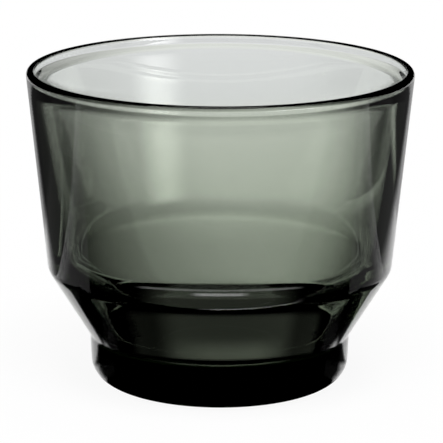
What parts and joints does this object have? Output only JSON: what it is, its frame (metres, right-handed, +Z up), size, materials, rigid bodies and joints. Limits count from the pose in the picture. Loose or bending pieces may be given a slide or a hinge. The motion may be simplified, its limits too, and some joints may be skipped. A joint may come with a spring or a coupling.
{
  "type": "cortado glass",
  "caption": "Short smoked-glass tumbler for a cortado, with a flared wall, a rounded shoulder, a conical lower bowl and a thick foot.",
  "frame": {"origin": "on the table, under the middle of the foot", "axes": "+Z up along the glass's axis of revolution; +X and +Y are any two level directions"},
  "size_m": [0.0758, 0.0758, 0.0624],
  "materials": {
    "smoked_glass": "smooth, fire-polished, grey-green tint right through"
  },
  "bodies": {
    "root": {"glass": "smoked_glass"}
  },
  "joints": []
}
